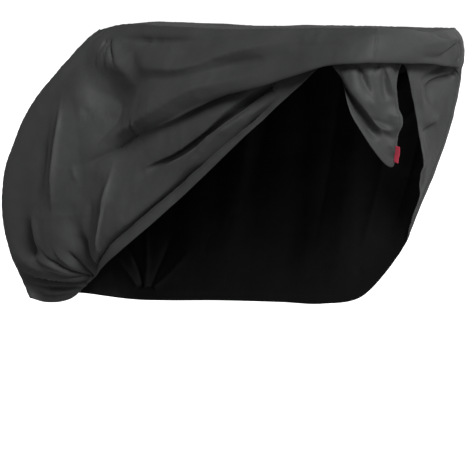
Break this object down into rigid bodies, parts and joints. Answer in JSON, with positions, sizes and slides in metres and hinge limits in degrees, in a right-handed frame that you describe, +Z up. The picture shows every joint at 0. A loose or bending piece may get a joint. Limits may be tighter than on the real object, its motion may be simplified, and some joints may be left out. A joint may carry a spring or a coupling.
{
  "type": "bicycle cover",
  "caption": "Fitted weather cover for bicycles: side panels joined by a long centre strip, open below, its near front corner lifted and tucked into a fold.",
  "frame": {"origin": "the point under the middle of the top where what it covers holds the cover up", "axes": "+X towards the front end, -Y the near side whose front corner is lifted, +Z up"},
  "size_m": [2.0446, 0.7084, 1.1583],
  "materials": {
    "cloth": "smooth woven polyester, charcoal outside, black coated inside",
    "tab": "plain red woven ribbon"
  },
  "bodies": {
    "root": {"side_near": "cloth", "side_far": "cloth", "strip": "cloth", "seam_tab": "tab"}
  },
  "joints": []
}
